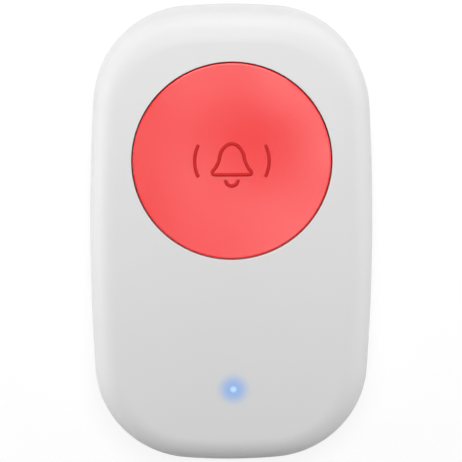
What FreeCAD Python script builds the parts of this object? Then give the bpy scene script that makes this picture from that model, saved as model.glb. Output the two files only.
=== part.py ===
import FreeCAD, Part
import os
import re
from math import acos, asin, atan2, pi, sin, sqrt

import Sketcher
from FreeCAD import Vector

# The driving sizes, in millimetres and degrees. Each is set here once.
SIZES = {
    # Case outline, with gently bowed sides and ends and round corners
    "case_width": 40.0,
    "case_length": 65.0,
    "case_height": 15.0,
    "side_radius": 325.0,
    "end_radius": 80.0,
    "corner_radius": 14.0,
    # Crowned front face and rounded edges
    "crown_length_radius": 440.0,
    "crown_width_radius": 285.0,
    "front_edge_radius": 4.0,
    "inner_edge_least": 0.3,
    "rear_edge_radius": 3.0,
    "seam_chamfer": 0.15,
    "crown_margin": 2.0,
    "crown_sweep": 12.0,
    # Walls and the joint between the two covers
    "wall": 1.8,
    "floor_thickness": 1.8,
    "parting_height": 3.2,
    "lip_thickness": 0.8,
    "lip_height": 1.4,
    "lip_gap": 0.1,
    "seal_thickness": 0.55,
    "seal_gap": 0.02,
    "rebate_overcut": 0.2,
    # Press button
    "button_end": 20.5,
    "button_radius": 13.9,
    "button_gap": 0.15,
    "button_travel": 0.4,
    "button_set_back": 0.34,
    "button_face": 1.6,
    "button_wall": 1.2,
    "button_rim_round": 0.2,
    "dish_radius": 190.0,
    "skirt_length": 2.2,
    "hook_height": 0.9,
    "hook_reach": 0.95,
    "hook_angle": 18.0,
    "hook_count": 4,
    "hook_gap": 0.05,
    "hook_margin_angle": 2.0,
    "slit_angle": 3.0,
    "slit_length": 1.8,
    "post_radius": 2.2,
    "press_gap": 0.02,
    "web_thickness": 0.8,
    "web_height": 0.8,
    "brace_depth": 3.0,
    # Collar that guides the button
    "collar_wall": 1.2,
    "collar_rim": 0.8,
    "window_margin": 0.3,
    "aperture_round": 0.12,
    # Circuit board
    "board_thickness": 1.2,
    "board_inset": 2.6,
    "board_clearance": 0.5,
    "contact_room": 1.0,
    # Cover screws and their bosses
    "boss_side": 7.4,
    "boss_end": 7.5,
    "boss_radius": 2.5,
    "boss_gap": 0.05,
    "pillar_radius": 3.2,
    "cover_screw_radius": 1.1,
    "cover_screw_length": 8.0,
    "cover_head_radius": 2.0,
    "cover_head_height": 1.3,
    "cover_head_sink": 0.3,
    "head_clearance": 0.2,
    "thread_gap": 0.02,
    # Board screws and their posts
    "board_screw_margin": 2.2,
    "board_screw_drop": 0.5,
    "board_screw_end": 16.0,
    "board_screw_radius": 1.0,
    "board_screw_length": 4.6,
    "board_head_radius": 1.7,
    "board_head_height": 1.2,
    "board_post_radius": 2.0,
    "pilot_run_out": 0.4,
    # Cross recess in every screw head
    "recess_reach": 1.1,
    "recess_width": 0.45,
    "recess_depth": 0.8,
    "head_round": 0.35,
    "thread_chamfer": 0.4,
    # Coin cell, 20 mm across and 3.2 mm thick
    "cell_radius": 10.0,
    "cell_height": 3.2,
    "cell_cap_radius": 8.85,
    "cell_cap_height": 0.25,
    "cell_edge_round": 0.3,
    "cell_gap": 0.05,
    # Battery hatch, a quarter-turn cover with a coin slot
    "hatch_y": -5.0,
    "hatch_radius": 14.4,
    "hatch_gap": 0.2,
    "hatch_sink": 0.3,
    "hatch_plate": 1.45,
    "hatch_rim_round": 0.3,
    "seat_gap": 0.05,
    "cup_radius": 11.0,
    "cup_wall": 0.8,
    "ledge_thickness": 1.2,
    "ring_wall": 1.2,
    "lug_count": 3,
    "lug_start": 90.0,
    "lug_reach": 1.2,
    "lug_height": 0.8,
    "lug_angle": 24.0,
    "notch_margin_angle": 3.0,
    "unlock_angle": 40.0,
    "stop_angle": 5.0,
    "stop_margin_angle": 1.5,
    "coin_slot_length": 15.0,
    "coin_slot_width": 2.0,
    "coin_slot_depth": 0.8,
    "mark_radius": 0.5,
    "mark_depth": 0.25,
    "mark_distance": 1.4,
    "hatch_seal_margin": 1.2,
    "hatch_seal_groove_width": 1.0,
    "hatch_seal_groove_depth": 0.75,
    # Well round the cell inside the case
    "well_wall": 1.0,
    "well_gap": 0.4,
    "rib_width": 1.2,
    "rib_clearance": 0.2,
    "rib_height": 1.3,
    "rest_radius": 1.2,
    "rest_gap": 0.05,
    "rest_spread": 8.0,
    "rest_y": 14.0,
    "rest_end": 7.5,
    # Tact switch under the button
    "switch_width": 6.0,
    "switch_depth": 5.5,
    "switch_base_height": 3.2,
    "frame_sheet": 0.25,
    "frame_tab_width": 3.0,
    "frame_tab_length": 1.6,
    "plunger_radius": 1.75,
    "plunger_stand_out": 0.85,
    "plunger_flange_radius": 2.2,
    "plunger_clearance": 0.1,
    "cavity_radius": 2.45,
    "cavity_floor": 1.1,
    "dome_radius": 2.2,
    "dome_rise": 0.55,
    "dome_sheet": 0.08,
    "stack_gap": 0.03,
    "terminal_width": 0.7,
    "terminal_pitch": 4.5,
    "terminal_sheet": 0.2,
    "terminal_foot": 1.1,
    "terminal_rise": 0.9,
    # Wire antenna, bent to and fro in one upright row
    "antenna_end": 6.5,
    "wire_radius": 0.3,
    "antenna_bend": 1.0,
    "antenna_bends": 8,
    "antenna_headroom": 1.8,
    "antenna_standoff": 0.3,
    "antenna_tail": 0.4,
    # Light, light guide and the thin spot over it
    "light_x": 0.35,
    "light_end": 11.4,
    "light_length": 2.0,
    "light_width": 1.25,
    "light_height": 0.8,
    "light_lens_length": 1.2,
    "light_gap": 0.3,
    "guide_radius": 1.4,
    "guide_flange_radius": 2.1,
    "guide_flange_height": 0.6,
    "guide_gap": 0.05,
    "tube_wall": 1.1,
    "light_skin": 0.6,
    # Chips and passives on the board
    "control_chip_x": -6.5,
    "control_chip_y": -10.5,
    "control_chip_length": 5.0,
    "control_chip_width": 4.0,
    "control_chip_height": 1.5,
    "control_chip_standoff": 0.1,
    "lead_count": 4,
    "lead_pitch": 1.27,
    "lead_width": 0.4,
    "lead_sheet": 0.2,
    "lead_foot": 0.5,
    "lead_reach": 1.0,
    "lead_rise": 0.7,
    "radio_chip_x": 4.5,
    "radio_chip_y": -12.5,
    "radio_chip_size": 4.0,
    "radio_chip_height": 0.9,
    "crystal_x": 10.5,
    "crystal_y": -12.5,
    "crystal_length": 3.2,
    "crystal_width": 2.5,
    "crystal_base_height": 0.45,
    "crystal_lid_height": 0.3,
    "crystal_lid_inset": 0.2,
    "passive_length": 1.6,
    "passive_width": 0.8,
    "passive_gap": 0.8,
    "passive_pitch": 2.4,
    "capacitor_height": 0.8,
    "resistor_height": 0.5,
    "solder_gap": 0.02,
    # Battery contacts of sheet metal under the board
    "contact_sheet": 0.2,
    "contact_width": 4.0,
    "contact_foot": 2.0,
    "contact_side_gap": 0.05,
    "contact_overlap": 0.85,
    "spring_length": 7.0,
    "spring_tip": 1.5,
}

# Levels and places that follow from the driving sizes
PLACES = {
    "button_y": "case_length / 2 - button_end",
    "light_y": "light_end - case_length / 2",
    "antenna_y": "antenna_end - case_length / 2",
    "rest_lower_y": "rest_end - case_length / 2",
    "boss_x": "case_width / 2 - boss_side",
    "boss_y": "case_length / 2 - boss_end",
    "board_screw_x": "case_width / 2 - board_inset - board_screw_margin",
    "board_screw_upper_y": "(button_y + hatch_y) / 2 - board_screw_drop",
    "board_screw_lower_y": "board_screw_end - case_length / 2",
    "hatch_seal_distance": "hatch_radius - hatch_seal_margin",
    "rebate_inset": "wall - lip_thickness - lip_gap",
    "lip_inset": "wall - lip_thickness",
    "lip_top": "parting_height + lip_height",
    "rebate_top": "lip_top + seal_thickness + 2 * seal_gap",
    "recess_top": "hatch_sink + hatch_plate + seat_gap",
    "ledge_top": "recess_top + ledge_thickness",
    "lug_bottom": "ledge_top + seat_gap",
    "cup_top": "lug_bottom + lug_height",
    "recess_radius": "hatch_radius + hatch_gap",
    "ring_radius": "recess_radius + ring_wall",
    "bore_radius": "cup_radius + hatch_gap",
    "lug_radius": "cup_radius + lug_reach",
    "notch_radius": "lug_radius + hatch_gap",
    "well_radius": "notch_radius + hatch_gap",
    "notch_angle": "lug_angle + 2 * notch_margin_angle",
    "cell_bottom": "hatch_sink + hatch_plate + cell_gap",
    "cell_top": "cell_bottom + cell_height",
    "board_bottom": "cell_top + contact_room",
    "board_top": "board_bottom + board_thickness",
    "well_top": "board_bottom - well_gap",
    "cover_head_seat": "cover_head_sink + cover_head_height",
    "frame_top": "board_top + switch_base_height + frame_sheet",
    "plunger_top": "frame_top + plunger_stand_out",
    "aperture_radius": "button_radius + button_gap",
    "collar_radius": "aperture_radius + collar_wall",
    "dish_depth": "dish_radius - sqrt(dish_radius ^ 2 - button_radius ^ 2)",
    "button_crown": "case_height - crown_length_radius + sqrt(crown_length_radius ^ 2 - button_y ^ 2)",
    "button_middle": "button_crown - button_set_back - dish_depth",
    "button_ceiling": "button_middle - button_face",
    "skirt_bottom": "button_ceiling - skirt_length",
    "window_bottom": "skirt_bottom - button_travel - window_margin",
    "window_top": "skirt_bottom + hook_height + hook_gap",
    "window_angle": "hook_angle + 2 * hook_margin_angle",
    "collar_bottom": "window_bottom - collar_rim",
    "brace_bottom": "button_ceiling - brace_depth",
    "light_crown": "case_height - crown_length_radius + sqrt(crown_length_radius ^ 2 - light_y ^ 2)",
    "tube_radius": "guide_radius + guide_gap + tube_wall",
    "guide_bottom": "board_top + light_height + light_gap",
    "tube_bottom": "guide_bottom + guide_flange_height + guide_gap",
    "antenna_low": "board_top + wire_radius + antenna_standoff",
    "antenna_high": "case_height - wall - antenna_headroom - 2 * antenna_bend",
    "antenna_half": "antenna_bend * antenna_bends",
    "control_side": "control_chip_length / 2 + passive_gap + passive_width / 2",
    "radio_side": "radio_chip_size / 2 + passive_gap + passive_width / 2",
    "radio_end": "radio_chip_size / 2 + passive_gap + passive_length / 2",
    "crystal_side": "crystal_width / 2 + passive_gap + passive_length / 2",
    "light_side": "guide_flange_radius + passive_gap + passive_width / 2",
}

# The four corners that the screws share, as signs of X and Y
CORNERS = ((1, 1), (-1, 1), (-1, -1), (1, -1))

# Places of the passives, beside the chips that they serve
CAPACITOR_SPOTS = (
    ("control_chip_x - control_side", "control_chip_y + passive_pitch / 2"),
    ("control_chip_x - control_side", "control_chip_y - passive_pitch / 2"),
    ("control_chip_x + control_side", "control_chip_y"),
    ("radio_chip_x + radio_side", "radio_chip_y + passive_pitch / 2"),
    ("radio_chip_x + radio_side", "radio_chip_y - passive_pitch / 2"),
    ("crystal_x", "crystal_y + crystal_side"),
)
RESISTOR_SPOTS = (
    ("light_x + light_side", "light_y"),
    ("light_x + light_side + passive_width + passive_gap", "light_y"),
    ("radio_chip_x - passive_pitch / 2", "radio_chip_y - radio_end"),
    ("radio_chip_x + passive_pitch / 2", "radio_chip_y - radio_end"),
)

# Pieces that are a group of separate solids
SOLIDS = {
    "cover_screws": 4,
    "board_screws": 4,
    "switch_terminals": 4,
    "chip_capacitors": len(CAPACITOR_SPOTS),
    "chip_resistors": len(RESISTOR_SPOTS),
}

doc = FreeCAD.newDocument("press_button_case")
sheet = doc.addObject("Spreadsheet::Sheet", "sizes")


def fill_sheet():
    """Write every driving size into the spreadsheet with its alias."""
    for row, (name, value) in enumerate(SIZES.items(), start=1):
        sheet.set(f"A{row}", name)
        sheet.set(f"B{row}", str(value))
        sheet.setAlias(f"B{row}", name)
    doc.recompute()


def cells(size):
    """Write a size out in the names of the sheet's cells."""
    def swap(found):
        word = found.group(0)
        if word in PLACES:
            return f"({cells(PLACES[word])})"
        if word in SIZES:
            return f"sizes.{word}"
        return word
    return re.sub(r"[a-z_]+", swap, str(size))


def number(size):
    """Return the present value of a size."""
    result = sheet.evalExpression(cells(size))
    return float(getattr(result, "Value", result))


def bind(thing, prop, size):
    """Tie a property to the sheet."""
    thing.setExpression(prop, cells(size))


def new_body(name, at=("0", "0", "0")):
    """Start a piece with its own label, placed in the case's frame."""
    piece = doc.addObject("PartDesign::Body", name)
    piece.Label = name
    for axis, size in zip("xyz", at):
        bind(piece, f"Placement.Base.{axis}", size)
    return piece


def sketch_on(piece, name, role="XY_Plane", at=("0", "0", "0"), turn=None):
    """Attach a sketch to one of the piece's own origin planes, at a place in the piece's frame."""
    sketch = piece.newObject("Sketcher::SketchObject", name)
    plane = next(item for item in piece.Origin.OriginFeatures if item.Role == role)
    sketch.AttachmentSupport = (plane, [""])
    sketch.MapMode = "FlatFace"
    x, y, z = at
    offsets = {"XY_Plane": (x, y, z), "XZ_Plane": (x, z, f"-({y})"), "YZ_Plane": (y, z, x)}
    if turn is not None:
        about_z = FreeCAD.Rotation(Vector(0, 1, 0), number(turn))
        sketch.AttachmentOffset = FreeCAD.Placement(Vector(), about_z)
        bind(sketch, "AttachmentOffset.Rotation.Angle", turn)
    for axis, size in zip("xyz", offsets[role]):
        bind(sketch, f"AttachmentOffset.Base.{axis}", size)
    return sketch


def lock(sketch, kind, *where, size):
    """Add a size constraint that follows the sheet."""
    index = sketch.addConstraint(Sketcher.Constraint(kind, *where, number(size)))
    bind(sketch, f"Constraints[{index}]", size)


def pin(sketch, element, point, x, y):
    """Hold one point of a sketch element at a place."""
    lock(sketch, "DistanceX", -1, 1, element, point, size=x)
    lock(sketch, "DistanceY", -1, 1, element, point, size=y)


def join(sketch, first, second):
    """Join the end of one element to the start of the next."""
    sketch.addConstraint(Sketcher.Constraint("Coincident", first, 2, second, 1))


def circle(sketch, x, y, radius):
    """Draw a circle."""
    centre = Vector(number(x), number(y), 0)
    index = sketch.addGeometry(Part.Circle(centre, Vector(0, 0, 1), number(radius)))
    pin(sketch, index, 3, x, y)
    lock(sketch, "Radius", index, size=radius)


def arc(sketch, x, y, radius, start, end):
    """Draw an arc of a circle; the start and end angles are only a first guess."""
    whole = Part.Circle(Vector(x, y, 0), Vector(0, 0, 1), radius)
    return sketch.addGeometry(Part.ArcOfCircle(whole, start, end))


def polygon(sketch, points):
    """Draw a closed outline of straight lines."""
    corners = [Vector(number(x), number(y), 0) for x, y in points]
    lines = []
    for start, end in zip(corners, corners[1:] + corners[:1]):
        lines.append(sketch.addGeometry(Part.LineSegment(start, end)))
    for index, (x, y) in enumerate(points):
        join(sketch, lines[index - 1], lines[index])
        pin(sketch, lines[index], 1, x, y)


def box(sketch, left, bottom, right, top):
    """Draw a rectangle from its four sides."""
    polygon(sketch, [(left, bottom), (right, bottom), (right, top), (left, top)])


def rectangle(sketch, x, y, length, width):
    """Draw a rectangle about its middle."""
    half = f"({length}) / 2"
    side = f"({width}) / 2"
    box(sketch, f"{x} - {half}", f"{y} - {side}", f"{x} + {half}", f"{y} + {side}")


def cross(sketch, x, y, reach, width):
    """Draw a plus sign."""
    half = f"{width} / 2"
    quarter = [(reach, f"-{half}"), (reach, half), (half, half)]
    points = []
    for _ in range(4):
        points += [(f"{x} + ({a})", f"{y} + ({b})") for a, b in quarter]
        quarter = [(f"-({b})", a) for a, b in quarter]
    polygon(sketch, points)


def slot(sketch, length, width):
    """Draw a round-ended slot along the sketch's own X axis, about its origin."""
    half = number(f"({length} - {width}) / 2")
    radius = number(f"{width} / 2")
    top = sketch.addGeometry(Part.LineSegment(Vector(half, radius, 0), Vector(-half, radius, 0)))
    left = arc(sketch, -half, 0, radius, pi / 2, 3 * pi / 2)
    bottom = sketch.addGeometry(Part.LineSegment(Vector(-half, -radius, 0), Vector(half, -radius, 0)))
    right = arc(sketch, half, 0, radius, -pi / 2, pi / 2)
    ring = (top, left, bottom, right)
    for first, second in zip(ring, ring[1:] + ring[:1]):
        sketch.addConstraint(Sketcher.Constraint("Tangent", first, 2, second, 1))
    pin(sketch, left, 3, f"-({length} - {width}) / 2", "0")
    pin(sketch, right, 3, f"({length} - {width}) / 2", "0")
    lock(sketch, "Radius", left, size=f"{width} / 2")


def outline(sketch, inset="0"):
    """Draw the case outline, or one that runs a constant distance inside it.

    Eight arcs meet tangentially: bowed sides, bowed ends and four corners. An inner outline
    keeps the centres of the arcs and takes the inset off each radius.
    """
    side = number(f"side_radius - ({inset})")
    end = number(f"end_radius - ({inset})")
    corner = number(f"corner_radius - ({inset})")
    side_x = number("case_width / 2 - side_radius")
    end_y = number("case_length / 2 - end_radius")
    # The corner's centre lies where it touches both the side arc and the end arc
    span = sqrt(side_x ** 2 + end_y ** 2)
    along = ((side - corner) ** 2 - (end - corner) ** 2 + span ** 2) / (2 * span)
    across = sqrt((side - corner) ** 2 - along ** 2)
    to_end = Vector(-side_x, end_y, 0) / span
    centre = Vector(side_x, 0, 0) + to_end * along + Vector(-to_end.y, to_end.x, 0) * across
    low = atan2(centre.y, centre.x - side_x)
    high = atan2(centre.y - end_y, centre.x)
    ring = [
        arc(sketch, side_x, 0, side, -low, low),
        arc(sketch, centre.x, centre.y, corner, low, high),
        arc(sketch, 0, end_y, end, high, pi - high),
        arc(sketch, -centre.x, centre.y, corner, pi - high, pi - low),
        arc(sketch, -side_x, 0, side, pi - low, pi + low),
        arc(sketch, -centre.x, -centre.y, corner, pi + low, pi + high),
        arc(sketch, 0, -end_y, end, pi + high, 2 * pi - high),
        arc(sketch, centre.x, -centre.y, corner, -high, -low),
    ]
    for first, second in zip(ring, ring[1:] + ring[:1]):
        sketch.addConstraint(Sketcher.Constraint("Tangent", first, 2, second, 1))
    for index, radius in enumerate(("side_radius", "corner_radius", "end_radius", "corner_radius") * 2):
        lock(sketch, "Radius", ring[index], size=f"{radius} - ({inset})")
    pin(sketch, ring[0], 3, "case_width / 2 - side_radius", "0")
    pin(sketch, ring[4], 3, "side_radius - case_width / 2", "0")
    pin(sketch, ring[2], 3, "0", "case_length / 2 - end_radius")
    pin(sketch, ring[6], 3, "0", "end_radius - case_length / 2")


def pad(piece, name, sketch, length, midplane=False):
    """Raise a sketch along its normal, or equally to both sides."""
    feature = piece.newObject("PartDesign::Pad", name)
    feature.Profile = sketch
    feature.Midplane = midplane
    bind(feature, "Length", length)
    return feature


def pocket_up(piece, name, sketch, depth):
    """Cut a sketch's shape away above its plane."""
    feature = piece.newObject("PartDesign::Pocket", name)
    feature.Profile = sketch
    feature.Reversed = True
    bind(feature, "Length", depth)
    return feature


def turned(piece, name, sketch, kind="Revolution", angle="360", axis="V_Axis"):
    """Turn a sketch about its own upright axis, to add material or to cut it away."""
    feature = piece.newObject(f"PartDesign::{kind}", name)
    feature.Profile = sketch
    feature.ReferenceAxis = (sketch, [axis])
    feature.Midplane = True
    bind(feature, "Angle", angle)
    return feature


def repeat_round(piece, name, feature, sketch, count, axis="V_Axis"):
    """Repeat a feature evenly about an axis of its sketch."""
    pattern = piece.newObject("PartDesign::PolarPattern", name)
    pattern.Originals = [feature]
    pattern.Axis = (sketch, [axis])
    pattern.Angle = 360
    bind(pattern, "Occurrences", count)
    piece.Tip = pattern
    return pattern


def dress(piece, name, size, wanted, kind="Fillet"):
    """Round or chamfer the edges that are wanted."""
    doc.recompute()
    base = piece.Tip
    names = [f"Edge{index}" for index, edge in enumerate(base.Shape.Edges, start=1) if wanted(edge)]
    feature = piece.newObject(f"PartDesign::{kind}", name)
    feature.Base = (base, names)
    bind(feature, "Radius" if kind == "Fillet" else "Size", size)
    return feature


def at_level(edge, level):
    """Say whether an edge lies flat at a level."""
    close = 0.001
    bounds = edge.BoundBox
    return abs(bounds.ZMin - level) < close and abs(bounds.ZMax - level) < close


def round_about(edge, x, y, radius):
    """Say whether every part of an edge lies at a radius about an upright axis."""
    close = 0.001
    if edge.Degenerated:
        return False
    points = edge.discretize(5)
    return all(abs(sqrt((p.x - x) ** 2 + (p.y - y) ** 2) - radius) < close for p in points)


def on_case_outline(edge):
    """Say whether an edge is one of the arcs of the full case outline."""
    close = 0.001
    if edge.Curve.TypeId != "Part::GeomCircle":
        return False
    radii = (number("side_radius"), number("end_radius"), number("corner_radius"))
    return any(abs(edge.Curve.Radius - radius) < close for radius in radii)


def crown(piece, name, inset):
    """Cut the top of a piece to the crowned face, or to a surface that runs inside it.

    The section across the width is an arc, and the groove swings it about an axis far below.
    """
    sketch = sketch_on(piece, f"{name}_section", "XZ_Plane")
    reach = "case_width / 2 + crown_margin"
    half = number(reach)
    middle = number("case_height - crown_width_radius")
    radius = number(f"crown_width_radius - ({inset})")
    start = acos(half / radius)
    edge = middle + radius * sin(start)
    above = number("case_height + crown_margin")
    curve = arc(sketch, 0, middle, radius, start, pi - start)
    left = sketch.addGeometry(Part.LineSegment(Vector(-half, edge, 0), Vector(-half, above, 0)))
    top = sketch.addGeometry(Part.LineSegment(Vector(-half, above, 0), Vector(half, above, 0)))
    right = sketch.addGeometry(Part.LineSegment(Vector(half, above, 0), Vector(half, edge, 0)))
    ring = (curve, left, top, right)
    for first, second in zip(ring, ring[1:] + ring[:1]):
        join(sketch, first, second)
    pin(sketch, curve, 3, "0", "case_height - crown_width_radius")
    lock(sketch, "Radius", curve, size=f"crown_width_radius - ({inset})")
    pin(sketch, top, 1, f"-({reach})", "case_height + crown_margin")
    pin(sketch, top, 2, reach, "case_height + crown_margin")
    sketch.addConstraint(Sketcher.Constraint("Vertical", left))
    sketch.addConstraint(Sketcher.Constraint("Vertical", right))
    depth = number("case_height - crown_length_radius")
    axis = sketch.addGeometry(Part.LineSegment(Vector(-half, depth, 0), Vector(half, depth, 0)), True)
    pin(sketch, axis, 1, f"-({reach})", "case_height - crown_length_radius")
    pin(sketch, axis, 2, reach, "case_height - crown_length_radius")
    turned(piece, name, sketch, "Groove", "crown_sweep", "Axis0")


def crowned_block(name, inset="0"):
    """Make the solid form of the front cover, or the core that hollows it out to an even wall."""
    block = new_body(name)
    sketch = sketch_on(block, f"{name}_outline", at=("0", "0", "parting_height"))
    outline(sketch, inset)
    pad(block, f"{name}_pad", sketch, "case_height - parting_height")
    crown(block, f"{name}_crown", inset)
    clear = number("parting_height + seam_chamfer")
    dress(block, f"{name}_edge", f"max(front_edge_radius - ({inset}); inner_edge_least)",
          lambda edge: edge.BoundBox.ZMin > clear)
    return block


def corner_spots():
    """Return the places of the four cover screws."""
    return [(f"{x} * boss_x", f"{y} * boss_y") for x, y in CORNERS]


def board_screw_spots():
    """Return the places of the four board screws."""
    heights = {1: "board_screw_upper_y", -1: "board_screw_lower_y"}
    return [(f"{x} * board_screw_x", heights[y]) for x, y in CORNERS]


def make_front_cover():
    """The deep moulded front cover, with a collar for the button and bosses for the screws."""
    form = crowned_block("front_form")
    shell = doc.addObject("Part::Cut", "front_shell")
    shell.Base = form
    shell.Tool = crowned_block("front_core", "wall")

    inside = new_body("front_inside")
    sketch = sketch_on(inside, "collar_ring", at=("0", "button_y", "collar_bottom"))
    circle(sketch, "0", "0", "collar_radius")
    circle(sketch, "0", "0", "aperture_radius")
    pad(inside, "collar", sketch, "case_height - collar_bottom")
    sketch = sketch_on(inside, "boss_rounds", at=("0", "0", "parting_height + boss_gap"))
    for x, y in corner_spots():
        circle(sketch, x, y, "boss_radius")
    pad(inside, "bosses", sketch, "case_height - parting_height - boss_gap")
    sketch = sketch_on(inside, "post_rounds", at=("0", "0", "board_top"))
    for x, y in board_screw_spots():
        circle(sketch, x, y, "board_post_radius")
    pad(inside, "board_posts", sketch, "case_height - board_top")
    sketch = sketch_on(inside, "tube_round", at=("light_x", "light_y", "tube_bottom"))
    circle(sketch, "0", "0", "tube_radius")
    pad(inside, "light_tube", sketch, "case_height - tube_bottom")
    sketch = sketch_on(inside, "brace_strips", at=("0", "button_y", "brace_bottom"))
    for side in (1, -1):
        near = f"{side} * (collar_radius - collar_wall / 2)"
        far = f"{side} * (case_width / 2 - wall / 2)"
        polygon(sketch, [
            (near, "-web_thickness / 2"), (far, "-web_thickness / 2"),
            (far, "web_thickness / 2"), (near, "web_thickness / 2"),
        ])
    pad(inside, "braces", sketch, "case_height - brace_bottom")

    trimmed = doc.addObject("Part::Common", "front_inside_trimmed")
    trimmed.Base = form
    trimmed.Tool = inside
    joined = doc.addObject("Part::Fuse", "front_joined")
    joined.Base = shell
    joined.Tool = trimmed
    doc.recompute()

    cover = new_body("front_cover")
    cover.BaseFeature = joined
    sketch = sketch_on(cover, "aperture_round", at=("0", "button_y", "collar_bottom"))
    circle(sketch, "0", "0", "aperture_radius")
    pocket_up(cover, "aperture", sketch, "case_height - collar_bottom")
    sketch = sketch_on(cover, "window_section", "XZ_Plane", ("0", "button_y", "0"), "180 / hook_count")
    box(sketch, "button_radius", "window_bottom", "collar_radius + button_gap", "window_top")
    window = turned(cover, "hook_window", sketch, "Groove", "window_angle")
    repeat_round(cover, "hook_windows", window, sketch, "hook_count")
    sketch = sketch_on(cover, "rebate_ring", at=("0", "0", "parting_height"))
    outline(sketch, "rebate_inset")
    outline(sketch, "wall + rebate_overcut")
    pocket_up(cover, "rebate", sketch, "rebate_top - parting_height")
    sketch = sketch_on(cover, "boss_pilots", at=("0", "0", "parting_height"))
    for x, y in corner_spots():
        circle(sketch, x, y, "cover_screw_radius + thread_gap")
    reach = "cover_head_seat + cover_screw_length + pilot_run_out - parting_height"
    pocket_up(cover, "boss_holes", sketch, reach)
    sketch = sketch_on(cover, "post_pilots", at=("0", "0", "board_top"))
    for x, y in board_screw_spots():
        circle(sketch, x, y, "board_screw_radius + thread_gap")
    pocket_up(cover, "post_holes", sketch, "board_screw_length + pilot_run_out - board_thickness")
    sketch = sketch_on(cover, "light_bore_round", at=("light_x", "light_y", "tube_bottom"))
    circle(sketch, "0", "0", "guide_radius + guide_gap")
    pocket_up(cover, "light_bore", sketch, "light_crown - light_skin - tube_bottom")
    parting = number("parting_height")
    dress(cover, "seam_edge", "seam_chamfer",
          lambda edge: at_level(edge, parting) and on_case_outline(edge), "Chamfer")
    ring = (0, number("button_y"), number("aperture_radius"))
    ceiling = number("button_ceiling")
    dress(cover, "aperture_edge", "aperture_round",
          lambda edge: edge.BoundBox.ZMin > ceiling and round_about(edge, *ring))
    return cover


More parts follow.
